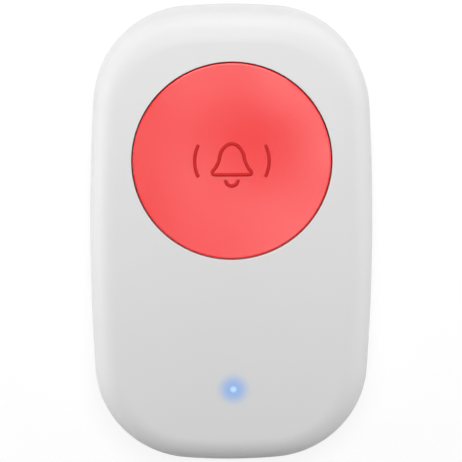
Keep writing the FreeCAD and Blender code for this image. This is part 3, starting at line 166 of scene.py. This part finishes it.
class GlowSizes(PropertyGroup):
    """Blue light of the lamp behind the thin spot in the front cover, painted into the cover's colour,
    with a core where the cover itself glows.
    """
    core: FloatProperty(
        name="Core", description="Radius of the brightest spot", unit="LENGTH", default=0.62 * MM)
    core_flat: FloatProperty(
        name="Core flat", description="Share of its radius over which the core keeps its full strength",
        subtype="FACTOR", min=0, max=1, default=0.3)
    core_strength: FloatProperty(
        name="Core strength", description="Strength of the light that the core gives off", min=0,
        default=0.62)
    disc: FloatProperty(
        name="Disc", description="Radius at which the lit disc has half its colour", unit="LENGTH",
        default=1.7 * MM)
    edge: FloatProperty(
        name="Edge", description="Width over which the disc's colour fades", unit="LENGTH",
        default=2.1 * MM)
    halo: FloatProperty(
        name="Halo", description="Radius at which the glow ends", unit="LENGTH", default=3.2 * MM)
    halo_share: FloatProperty(
        name="Halo share", description="How much of the disc's colour the halo starts with",
        subtype="FACTOR", min=0, max=1, default=0.09)
    core_colour: FloatVectorProperty(
        name="Core colour", description="Colour that the brightest spot adds", subtype="COLOR",
        min=0, max=1, default=linear("9CB4C8"))
    disc_colour: FloatVectorProperty(
        name="Disc colour", description="Colour of the lit disc", subtype="COLOR",
        min=0, max=1, default=linear("A3C4F5"))


class Studio(PropertyGroup):
    """Camera and floor."""
    lens: FloatProperty(
        name="Lens", description="Focal length of the camera in millimetres", default=230.4)
    distance: FloatProperty(
        name="Distance", description="From the camera to the middle of the case", unit="LENGTH",
        default=0.4222)
    floor_width: FloatProperty(
        name="Floor width", description="Width of the square of paper", unit="LENGTH", default=6)
    floor_colour: StringProperty(
        name="Floor colour", description="Colour of the floor as sRGB hex", default="F4F4F4")


def add_node(tree, kind, inputs=None, **settings):
    """Add a node with its settings, and set or link its inputs."""
    node = tree.nodes.new(kind)
    for name, value in settings.items():
        setattr(node, name, value)
    for socket, source in (inputs or {}).items():
        if isinstance(source, bpy.types.NodeSocket):
            tree.links.new(source, node.inputs[socket])
        else:
            node.inputs[socket].default_value = source
    return node


def start_material(name):
    """Start a material: return it with its tree, its shader and the object's own coordinates."""
    material = bpy.data.materials.new(name)
    material.use_nodes = True
    tree = material.node_tree
    shader = tree.nodes["Principled BSDF"]
    place = add_node(tree, "ShaderNodeTexCoord").outputs["Object"]
    return material, tree, shader, place


def vary(tree, place, size_mm, low, high, detail=2.0):
    """Return a value that wanders between two limits over patches of a real size."""
    noise = add_node(tree, "ShaderNodeTexNoise", {
        "Vector": place, "Scale": repeats(size_mm), "Detail": detail})
    spread = add_node(tree, "ShaderNodeMapRange", {
        "Value": noise.outputs["Fac"], "From Min": NOISE_LOW, "From Max": NOISE_HIGH,
        "To Min": low, "To Max": high})
    return spread.outputs["Result"]


def tinted(tree, colour, share):
    """Return a colour whose brightness follows a value."""
    tint = add_node(tree, "ShaderNodeVectorMath", {0: colour, "Scale": share}, operation="SCALE")
    return tint.outputs["Vector"]


def mottle(tree, shader, place, colour, size_mm, low, high):
    """Give a shader a colour whose brightness wanders over patches of a real size."""
    share = vary(tree, place, size_mm, low, high)
    tree.links.new(tinted(tree, colour, share), shader.inputs["Base Color"])


def grain_bump(tree, shader, height, depth_mm, strength):
    """Press a height pattern into the surface."""
    bump = add_node(tree, "ShaderNodeBump", {
        "Height": height, "Distance": depth_mm * MM, "Strength": strength})
    tree.links.new(bump.outputs["Normal"], shader.inputs["Normal"])


def moulded_abs(name, finish):
    """Injection-moulded ABS from a spark-eroded mould.

    The eye sees an even sheen, a very fine pitting that only breaks up the highlights, and a
    colour that wanders by a percent or two where the melt flowed.
    """
    material, tree, shader, place = start_material(name)
    mottle(tree, shader, place, tuple(finish.colour), size_mm=14, low=0.985, high=1.0)
    rough = vary(tree, place, size_mm=5, low=finish.roughness, high=finish.roughness + finish.wander)
    tree.links.new(rough, shader.inputs["Roughness"])
    shader.inputs["Specular IOR Level"].default_value = finish.sheen
    shader.inputs["IOR"].default_value = 1.53
    # Real pits of this kind are near 0.05 mm wide, too fine for the render, so they are drawn coarser
    pits = add_node(tree, "ShaderNodeTexNoise", {
        "Vector": place, "Scale": 1 / finish.grain, "Detail": 1.0})
    grain_bump(tree, shader, pits.outputs["Fac"], depth_mm=0.006, strength=0.25)
    return material


def paint_lamp_glow(material, glow):
    """Paint the light of the lamp behind the cover at its thin spot, as a soft blue disc painted into
    its colour.

    The eye sees a nearly white core, a clear blue disc round it and a faint halo that dies away
    into the white plastic.
    """
    tree = material.node_tree
    shader = tree.nodes["Principled BSDF"]
    place = add_node(tree, "ShaderNodeTexCoord").outputs["Object"]
    flat = add_node(tree, "ShaderNodeVectorMath", {
        0: place, 1: (1, 1, 0), 2: (-GLOW.x, -GLOW.y, 0)}, operation="MULTIPLY_ADD")
    away = add_node(tree, "ShaderNodeVectorMath", {0: flat.outputs["Vector"]}, operation="LENGTH")

    def fade(near, far):
        """Return a share that falls smoothly from one to nothing between two radii."""
        falling = add_node(tree, "ShaderNodeMapRange", {
            "Value": away.outputs["Value"], "From Min": near, "From Max": far,
            "To Min": 1.0, "To Max": 0.0}, interpolation_type="SMOOTHSTEP")
        return falling.outputs["Result"]

    # The disc and its halo are painted light: the lamp's blue glow painted into the cover's colour
    disc = fade(glow.disc - glow.edge / 2, glow.disc + glow.edge / 2)
    core = fade(glow.core * glow.core_flat, glow.core)
    halo = add_node(tree, "ShaderNodeMath", {
        0: fade(glow.disc, glow.halo), 1: glow.halo_share}, operation="MULTIPLY")
    # Painted glow: the disc or the halo, whichever is stronger, laid over the plain white
    painted_glow = add_node(tree, "ShaderNodeMath", {0: disc, 1: halo.outputs[0]}, operation="MAXIMUM")
    plain = shader.inputs["Base Color"].links[0].from_socket
    painted_glow_colour = add_node(tree, "ShaderNodeMix", {
        0: painted_glow.outputs[0], 6: plain, 7: (*glow.disc_colour, 1)}, data_type="RGBA")
    tree.links.new(painted_glow_colour.outputs[2], shader.inputs["Base Color"])
    # The cover itself glows at the core, standing in for the lamp behind it
    shader.inputs["Emission Color"].default_value = (*glow.core_colour, 1)
    power = add_node(tree, "ShaderNodeMath", {0: core, 1: glow.core_strength}, operation="MULTIPLY")
    tree.links.new(power.outputs[0], shader.inputs["Emission Strength"])


def pad_print_ink(colour):
    """Pad-printed ink: a thin dull film, a little darker than the button and slightly uneven."""
    material, tree, shader, place = start_material("pad_print_ink")
    mottle(tree, shader, place, colour, size_mm=0.6, low=0.94, high=1.03)
    shader.inputs["Roughness"].default_value = 0.55
    shader.inputs["Specular IOR Level"].default_value = 0.25
    return material


def silicone():
    """Black silicone rubber: dull, with a soft bloom on its surface."""
    material, tree, shader, place = start_material("black_silicone")
    mottle(tree, shader, place, linear("1C1C1E"), size_mm=1.5, low=0.85, high=1.25)
    shader.inputs["Roughness"].default_value = 0.62
    return material


def plated_steel(name, colour, roughness, scratch_mm):
    """Plated sheet, wire or screws: a bright metal, with fine rubbing marks from the plating barrel."""
    material, tree, shader, place = start_material(name)
    shader.inputs["Metallic"].default_value = 1.0
    mottle(tree, shader, place, linear(colour), size_mm=1.2, low=0.9, high=1.0)
    rubbed = roughness + 0.14
    dulled = vary(tree, place, scratch_mm, low=roughness, high=rubbed, detail=5.0)
    tree.links.new(dulled, shader.inputs["Roughness"])
    marks = add_node(tree, "ShaderNodeTexNoise", {
        "Vector": place, "Scale": repeats(scratch_mm), "Detail": 4.0})
    grain_bump(tree, shader, marks.outputs["Fac"], depth_mm=0.004, strength=0.2)
    return material


def turned_can():
    """The coin cell's can: nickel-plated steel with faint rings from the press tool."""
    material, tree, shader, place = start_material("nickel_can")
    shader.inputs["Metallic"].default_value = 1.0
    shader.inputs["Base Color"].default_value = (*linear("C9C7C2"), 1)
    ring_mm = 0.9425
    moved = add_node(tree, "ShaderNodeMapping", {"Vector": place, "Location": -CELL})
    rings = add_node(tree, "ShaderNodeTexWave", {
        "Vector": moved.outputs["Vector"], "Scale": RING_REPEAT * repeats(ring_mm),
        "Distortion": 0.4}, wave_type="RINGS", rings_direction="Z")
    spread = add_node(tree, "ShaderNodeMapRange", {
        "Value": rings.outputs["Fac"], "To Min": 0.24, "To Max": 0.34})
    tree.links.new(spread.outputs["Result"], shader.inputs["Roughness"])
    grain_bump(tree, shader, rings.outputs["Fac"], depth_mm=0.003, strength=0.2)
    return material


def solder_resist():
    """A glass laminate under green solder resist.

    The eye sees a glossy green with copper under it: blocks of lighter pour beside darker bare
    ones, and in some blocks a row of fine parallel tracks that stand a little proud.
    """
    material, tree, shader, place = start_material("green_solder_resist")
    block_mm = 7.0
    track_mm = 1.066
    # Each block has random values: above the first limit it has tracks, above the second a pour
    track_limit = 0.6
    pour_limit = 0.35
    blocks = add_node(tree, "ShaderNodeTexVoronoi", {
        "Vector": place, "Scale": repeats(block_mm), "Randomness": 0.8}, distance="CHEBYCHEV")
    tone = add_node(tree, "ShaderNodeSeparateColor", {0: blocks.outputs["Color"]})
    lines = add_node(tree, "ShaderNodeTexWave", {
        "Vector": place, "Scale": BAND_REPEAT * repeats(track_mm), "Distortion": 0.0},
        bands_direction="DIAGONAL")
    # Only the middle of the wave slopes, which gives each track steep sides
    ridges = add_node(tree, "ShaderNodeMapRange", {
        "Value": lines.outputs["Fac"], "From Min": 0.42, "From Max": 0.58})
    routed = add_node(tree, "ShaderNodeMath", {
        0: tone.outputs[1], 1: track_limit}, operation="GREATER_THAN")
    poured = add_node(tree, "ShaderNodeMath", {
        0: tone.outputs[0], 1: pour_limit}, operation="GREATER_THAN")
    copper = add_node(tree, "ShaderNodeMix", {
        0: routed.outputs[0], 2: poured.outputs[0], 3: ridges.outputs["Result"]})
    green = add_node(tree, "ShaderNodeMix", {
        0: copper.outputs[0], 6: (*linear("154A2C"), 1), 7: (*linear("1F5F38"), 1)}, data_type="RGBA")
    tree.links.new(green.outputs[2], shader.inputs["Base Color"])
    tree.links.new(vary(tree, place, size_mm=2.5, low=0.24, high=0.32), shader.inputs["Roughness"])
    grain_bump(tree, shader, copper.outputs[0], depth_mm=0.02, strength=0.5)
    return material


def moulded_epoxy(name, colour, roughness):
    """Filled epoxy, nylon or ceramic of a chip or a switch: matt, with a fine sandy speckle."""
    material, tree, shader, place = start_material(name)
    mottle(tree, shader, place, linear(colour), size_mm=0.12, low=0.85, high=1.15)
    shader.inputs["Roughness"].default_value = roughness
    return material


def clear_resin(name, colour, roughness):
    """Clear resin: it takes its colour from the light that passes through."""
    material, tree, shader, place = start_material(name)
    shader.inputs["Transmission Weight"].default_value = 0.9
    shader.inputs["IOR"].default_value = 1.54
    shader.inputs["Base Color"].default_value = (*linear(colour), 1)
    hazy = roughness + 0.05
    tree.links.new(vary(tree, place, size_mm=0.8, low=roughness, high=hazy), shader.inputs["Roughness"])
    return material


def dress(material, *nodes):
    """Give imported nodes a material."""
    for name in nodes:
        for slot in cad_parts[name].material_slots:
            slot.material = material


def deselect():
    """Deselect everything before a new piece is added."""
    if bpy.context.object and bpy.context.object.mode != "OBJECT":
        bpy.ops.object.mode_set(mode="OBJECT")
    bpy.ops.object.select_all(action="DESELECT")


class BUTTONCASE_OT_covers(Operator):
    """Finish the white covers and the hatch, and paint the lamp's glow on the front"""
    bl_idname = "buttoncase.covers"
    bl_label = "Finish Covers"

    def execute(self, context):
        finish = context.scene.case_finish
        dress(moulded_abs("white_abs", finish), "rear_cover", "battery_hatch")
        # A copy of the white whose thin spot has the lamp's blue glow painted on and glowing
        front = moulded_abs("white_abs_painted_glow", finish)
        paint_lamp_glow(front, context.scene.glow_sizes)
        dress(front, "front_cover")
        return {"FINISHED"}


class BUTTONCASE_OT_button(Operator):
    """Finish the red press button"""
    bl_idname = "buttoncase.button"
    bl_label = "Finish Press Button"

    def execute(self, context):
        dress(moulded_abs("red_abs", context.scene.button_finish), "button_cap")
        return {"FINISHED"}


def ribbon(name, knots, closed, stroke):
    """Draw one printed line as a flat ribbon along a curve and return it as a mesh.

    Each knot is its place and, measured from there, its handle ahead. The handle behind mirrors it.
    """
    curve = bpy.data.curves.new(name, "CURVE")
    curve.dimensions = "3D"
    curve.resolution_u = 16
    line = curve.splines.new("BEZIER")
    line.bezier_points.add(len(knots) - 1)
    for point, (x, y, handle_x, handle_y) in zip(line.bezier_points, knots):
        point.co = (x, y, 0)
        point.handle_left_type = point.handle_right_type = "FREE"
        point.handle_left = (x - handle_x, y - handle_y, 0)
        point.handle_right = (x + handle_x, y + handle_y, 0)
    line.use_cyclic_u = closed
    section = bpy.data.curves.new(f"{name}_section", "CURVE")
    edge = section.splines.new("POLY")
    edge.points.add(1)
    for point, side in zip(edge.points, (-1, 1)):
        point.co = (side * stroke / 2, 0, 0, 1)
    section_object = bpy.data.objects.new(f"{name}_section", section)
    curve.bevel_mode = "OBJECT"
    curve.bevel_object = section_object
    printed = bpy.data.objects.new(name, curve)
    bpy.context.collection.objects.link(printed)
    deselect()
    printed.select_set(True)
    bpy.context.view_layer.objects.active = printed
    bpy.ops.object.convert(target="MESH")
    bpy.data.objects.remove(section_object)
    return bpy.context.object


# Where the bell's rim lies, as a share of the bell's height above the symbol's middle
BELL_RIM = -0.45
# The bell's knots down its right side: place and handle ahead, across as shares of half its width
# and up as shares of its height
BELL_TOP = (0, 0.55, 0.3696, 0)
BELL_SIDE = (
    (0.66, 0.12, 0, -0.14),
    (1, BELL_RIM + 0.14, 0.10, -0.05),
    (0.92, BELL_RIM, -0.12, 0),
)


def bell(half_width, height):
    """Return the knots of the bell's outline, clockwise from its top."""
    other_side = [(-x, y, handle_x, -handle_y) for x, y, handle_x, handle_y in reversed(BELL_SIDE)]
    return [(x * half_width, y * height, handle_x * half_width, handle_y * height)
            for x, y, handle_x, handle_y in (BELL_TOP, *BELL_SIDE, *other_side)]


def arc(radius, start, end, up):
    """Return the knots of a round stroke between two angles, about a point that far up."""
    # With this length, the handles keep each half of the stroke round
    handle = radius * 4 / 3 * tan((end - start) / 8)
    knots = []
    for angle in (start, (start + end) / 2, end):
        knots.append((radius * cos(angle), up + radius * sin(angle),
                      -handle * sin(angle), handle * cos(angle)))
    return knots


class BUTTONCASE_OT_symbol(Operator):
    """Print a plain bell on the press button's dished face"""
    bl_idname = "buttoncase.symbol"
    bl_label = "Print Symbol"

    def execute(self, context):
        sizes = context.scene.symbol_sizes
        clapper_up = BELL_RIM * sizes.height - sizes.clapper_drop
        strokes = (
            (bell(sizes.width / 2, sizes.height), True),
            (arc(sizes.clapper, pi, 2 * pi, clapper_up), False),
            (arc(sizes.reach, -sizes.swing, sizes.swing, 0), False),
            (arc(sizes.reach, pi - sizes.swing, pi + sizes.swing, 0), False),
        )
        # The lines are drawn clear of the button and then dropped on to its dish
        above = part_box("button_cap")[1].z + MM
        lines = []
        for index, (knots, closed) in enumerate(strokes):
            line = ribbon(f"line_{index}", knots, closed, sizes.stroke)
            line.location = (BUTTON.x, BUTTON.y, above)
            lines.append(line)
        deselect()
        for line in lines:
            line.select_set(True)
        context.view_layer.objects.active = lines[0]
        bpy.ops.object.join()
        print_piece = context.object
        print_piece.name = "button_symbol"
        bpy.ops.object.transform_apply()
        wrap = print_piece.modifiers.new("on_the_dish", "SHRINKWRAP")
        wrap.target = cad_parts["button_cap"]
        wrap.wrap_method = "PROJECT"
        wrap.use_project_z = True
        wrap.use_negative_direction = True
        wrap.use_positive_direction = False
        bpy.ops.object.modifier_apply(modifier=wrap.name)
        # The film reaches as far into the button as it stands above it
        film = print_piece.modifiers.new("film", "SOLIDIFY")
        film.thickness = 2 * sizes.ink
        film.offset = 0
        bpy.ops.object.modifier_apply(modifier=film.name)
        bpy.ops.object.mode_set(mode="EDIT")
        bpy.ops.mesh.select_all(action="SELECT")
        bpy.ops.mesh.normals_make_consistent(inside=False)
        bpy.ops.object.mode_set(mode="OBJECT")
        print_piece.data.materials.clear()
        print_piece.data.materials.append(pad_print_ink(tuple(sizes.colour)))
        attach(print_piece, "button")
        return {"FINISHED"}


class BUTTONCASE_OT_fittings(Operator):
    """Finish the seals and the screws"""
    bl_idname = "buttoncase.fittings"
    bl_label = "Finish Seals And Screws"

    def execute(self, context):
        dress(silicone(), "hatch_seal", "perimeter_seal")
        zinc = plated_steel("zinc_plate", "B9BCC2", roughness=0.28, scratch_mm=0.5)
        dress(zinc, "cover_screws", "board_screws")
        return {"FINISHED"}


class BUTTONCASE_OT_electronics(Operator):
    """Finish the board, the switch, the lamp and the parts soldered to the board"""
    bl_idname = "buttoncase.electronics"
    bl_label = "Finish Electronics"

    def execute(self, context):
        nylon = moulded_epoxy("black_nylon", "17171A", roughness=0.5)
        nickel = plated_steel("nickel_sheet", "CFCBC4", roughness=0.22, scratch_mm=0.4)
        brass = plated_steel("tinned_brass", "D8C79A", roughness=0.26, scratch_mm=0.3)
        epoxy = moulded_epoxy("chip_epoxy", "202024", roughness=0.55)
        ceramic = moulded_epoxy("capacitor_ceramic", "A88660", roughness=0.45)
        dress(solder_resist(), "circuit_board")
        dress(nylon, "switch_base", "switch_plunger")
        dress(nickel, "switch_frame", "switch_dome", "crystal_can")
        dress(brass, "switch_terminals", "wire_antenna")
        dress(epoxy, "control_chip", "radio_chip", "chip_resistors")
        dress(ceramic, "chip_capacitors")
        dress(clear_resin("lamp_resin", "A8C8FF", roughness=0.12), "indicator_led")
        dress(clear_resin("clear_polycarbonate", "F2F6FF", roughness=0.08), "light_guide")
        return {"FINISHED"}


class BUTTONCASE_OT_power(Operator):
    """Finish the coin cell and its contacts"""
    bl_idname = "buttoncase.power"
    bl_label = "Finish Cell And Contacts"

    def execute(self, context):
        dress(turned_can(), "coin_cell")
        spring = plated_steel("spring_nickel", "CFCBC4", roughness=0.24, scratch_mm=0.3)
        dress(spring, "positive_contact", "negative_contact")
        return {"FINISHED"}


# The lamps: name, place, width of the round panel and power in watts
LAMPS = (
    ("lamp_over_end", (0.0, 0.12, 0.42), 0.25, 1.30),
    ("lamp_left", (-0.17, 0.02, 0.07), 0.12, 0.098),
    ("lamp_right", (0.17, 0.02, 0.07), 0.12, 0.118),
    ("lamp_low_end", (0.0, 0.13, 0.025), 0.05, 0.040),
    ("lamp_low_left", (-0.12, 0.0, 0.02), 0.05, 0.026),
)
# A ring light of small panels, whose dark middle the button's dish mirrors as a deeper red spot
RING_MIDDLE = Vector((0.004, -0.0586, 0.45))
RING_PANEL_WIDTH = 0.034
# Each panel's direction in degrees, its distance from the ring's middle and its power in watts
RING_PANELS = (
    (0, 0.029, 0.0047),
    (60, 0.027, 0.0059),
    (120, 0.035, 0.0084),
    (180, 0.039, 0.0144),
    (240, 0.036, 0.0138),
    (300, 0.036, 0.0080),
)
# Brightness that the lamps alone give the open floor, where white is one
LIT_FLOOR = 0.9
# How much of the lamps' light and shadow the floor shows
SHADOW_SHARE = 0.25
# The camera leans towards the button's end and a little to the left, with the case's length upright
# in the picture, and looks at a point a hair to the right of the case's middle and above it
CAMERA_LEAN = Vector((-0.021, 0.229, 1))
AIM_RIGHT = 0.021 * MM
AIM_UP = 0.44 * MM


def add_lamp(name, spot, width, power):
    """Hang a soft round panel that faces the case."""
    panel = bpy.data.lights.new(name, "AREA")
    panel.shape = "DISK"
    panel.size = width
    panel.energy = power
    lamp = bpy.data.objects.new(name, panel)
    bpy.context.collection.objects.link(lamp)
    lamp.location = spot
    lamp.rotation_euler = (CASE_MIDDLE - Vector(spot)).to_track_quat("-Z", "Y").to_euler()


def seen_rays(tree):
    """Return a share that is one for rays that look: from the camera, a reflection or glass."""
    path = add_node(tree, "ShaderNodeLightPath")
    either = add_node(tree, "ShaderNodeMath", {
        0: path.outputs["Is Camera Ray"], 1: path.outputs["Is Glossy Ray"]}, operation="MAXIMUM")
    any_of_them = add_node(tree, "ShaderNodeMath", {
        0: either.outputs[0], 1: path.outputs["Is Transmission Ray"]}, operation="MAXIMUM")
    return any_of_them.outputs[0]


def white_sky():
    """An even sky that is white to rays that look and casts no light."""
    world = bpy.data.worlds.new("sky")
    bpy.context.scene.world = world
    world.use_nodes = True
    tree = world.node_tree
    background = tree.nodes["Background"]
    tree.links.new(seen_rays(tree), background.inputs["Strength"])
    background.inputs["Color"].default_value = (1, 1, 1, 1)


def floor_paper(colour):
    """Matt white studio paper that shows as white, with a faint shadow, to rays that look."""
    material, tree, shader, place = start_material("studio_paper")
    shader.inputs["Roughness"].default_value = 0.9
    seen = seen_rays(tree)
    share = add_node(tree, "ShaderNodeMapRange", {
        "Value": seen, "To Min": 1.0, "To Max": SHADOW_SHARE})
    uneven = add_node(tree, "ShaderNodeMath", {
        0: share.outputs["Result"], 1: vary(tree, place, size_mm=30, low=0.995, high=1.0)},
        operation="MULTIPLY")
    tree.links.new(tinted(tree, linear(colour), uneven.outputs[0]), shader.inputs["Base Color"])
    # Its own glow brings the lit floor up to white
    shader.inputs["Emission Color"].default_value = (1, 1, 1, 1)
    lift = add_node(tree, "ShaderNodeMath", {
        0: seen, 1: 1 - SHADOW_SHARE * LIT_FLOOR}, operation="MULTIPLY")
    tree.links.new(lift.outputs[0], shader.inputs["Emission Strength"])
    return material


class BUTTONCASE_OT_stage(Operator):
    """Lay the floor, hang the lamps and set the camera at the photograph's view"""
    bl_idname = "buttoncase.stage"
    bl_label = "Set Stage"

    def execute(self, context):
        studio = context.scene.studio
        deselect()
        bpy.ops.mesh.primitive_plane_add(size=studio.floor_width)
        floor = context.object
        floor.name = "floor"
        floor.data.materials.append(floor_paper(studio.floor_colour))
        white_sky()
        for lamp in LAMPS:
            add_lamp(*lamp)
        for direction, reach, power in RING_PANELS:
            angle = radians(direction)
            spot = RING_MIDDLE + reach * Vector((cos(angle), sin(angle), 0))
            add_lamp(f"lamp_ring_{direction}", spot, RING_PANEL_WIDTH, power)
        lens = bpy.data.cameras.new("camera")
        lens.lens = studio.lens
        lens.sensor_width = 36
        lens.clip_start = 0.01
        camera = bpy.data.objects.new("camera", lens)
        context.collection.objects.link(camera)
        back = CAMERA_LEAN.normalized()
        right = Vector((0, 1, 0)).cross(back).normalized()
        up = back.cross(right)
        aim = Vector((0, 0, CASE_MIDDLE.z)) + right * AIM_RIGHT + up * AIM_UP
        turn = Matrix((right, up, back)).transposed().to_4x4()
        camera.matrix_world = Matrix.Translation(aim + back * studio.distance) @ turn
        context.scene.camera = camera
        context.scene.view_settings.view_transform = "Standard"
        return {"FINISHED"}


class BUTTONCASE_PT_panel(Panel):
    """Sizes and colours of the panic button, and the steps that dress it"""
    bl_label = "Panic Button"
    bl_idname = "BUTTONCASE_PT_panel"
    bl_space_type = "VIEW_3D"
    bl_region_type = "UI"
    bl_category = "Panic Button"

    def draw(self, context):
        for name in GROUPS:
            box = self.layout.box()
            group = getattr(context.scene, name)
            for prop in group.__annotations__:
                box.prop(group, prop)
        for step in STEPS:
            self.layout.operator(step.bl_idname)


GROUPS = {
    "case_finish": CaseFinish,
    "button_finish": ButtonFinish,
    "symbol_sizes": SymbolSizes,
    "glow_sizes": GlowSizes,
    "studio": Studio,
}
STEPS = (
    BUTTONCASE_OT_covers,
    BUTTONCASE_OT_button,
    BUTTONCASE_OT_symbol,
    BUTTONCASE_OT_fittings,
    BUTTONCASE_OT_electronics,
    BUTTONCASE_OT_power,
    BUTTONCASE_OT_stage,
)
CLASSES = (*GROUPS.values(), *STEPS, BUTTONCASE_PT_panel)


def register():
    """Register the classes and hang the property groups on the scene."""
    for item in CLASSES:
        bpy.utils.register_class(item)
    for name, group in GROUPS.items():
        setattr(bpy.types.Scene, name, PointerProperty(type=group))


def unregister():
    """Take the property groups and the classes away again."""
    for name in GROUPS:
        delattr(bpy.types.Scene, name)
    for item in reversed(CLASSES):
        bpy.utils.unregister_class(item)


def main():
    """Run every step in order."""
    register()
    bpy.ops.buttoncase.covers()
    bpy.ops.buttoncase.button()
    bpy.ops.buttoncase.symbol()
    bpy.ops.buttoncase.fittings()
    bpy.ops.buttoncase.electronics()
    bpy.ops.buttoncase.power()
    bpy.ops.buttoncase.stage()


if __name__ == "__main__":
    main()
